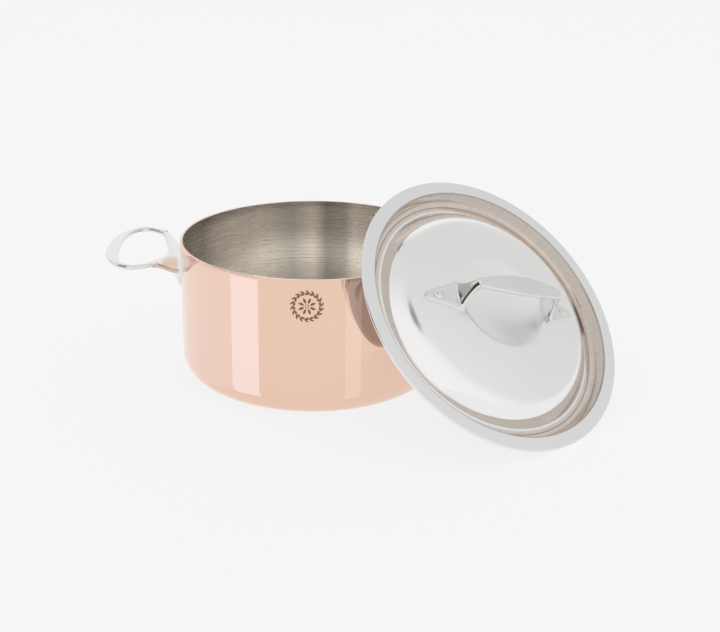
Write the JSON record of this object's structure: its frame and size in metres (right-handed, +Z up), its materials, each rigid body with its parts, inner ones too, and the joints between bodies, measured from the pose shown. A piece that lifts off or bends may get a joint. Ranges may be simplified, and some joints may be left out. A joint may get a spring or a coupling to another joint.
{
  "type": "two-handled copper stewpan with steel lid",
  "caption": "Straight-walled copper stewpan with a steel lining, looped riveted side handles and a polished steel lid leaning beside it.",
  "frame": {"origin": "centre of the pan's base, on the surface it stands on", "axes": "+Z up along the pan's axis; the side handles lie near the X axis; -Y is the pan's front, and the lid leans at +X, -Y"},
  "size_m": [0.3849, 0.2813, 0.1571],
  "materials": {
    "polished_copper": "mirror polished copper",
    "brushed_steel": "brushed round the bore",
    "polished_steel": "mirror polished stainless steel",
    "cast_steel": "polished cast stainless steel",
    "rivet_steel": "polished stainless steel"
  },
  "bodies": {
    "pan": {"copper_shell": "polished_copper", "steel_lining": "brushed_steel", "left_side_handle": "cast_steel", "right_side_handle": "cast_steel", "left_rivet_front": "rivet_steel", "left_rivet_back": "rivet_steel", "left_rivet_low": "rivet_steel", "right_rivet_front": "rivet_steel", "right_rivet_back": "rivet_steel", "right_rivet_low": "rivet_steel"},
    "lid": {"lid_cover": "polished_steel", "lid_handle": "cast_steel", "lid_rivet_left": "rivet_steel", "lid_rivet_right": "rivet_steel"}
  },
  "joints": [
    {"name": "lid_lift", "type": "slide", "parent": "pan", "child": "lid", "axis": [0, 0, 1], "range_m": [0, 0.2]}
  ]
}
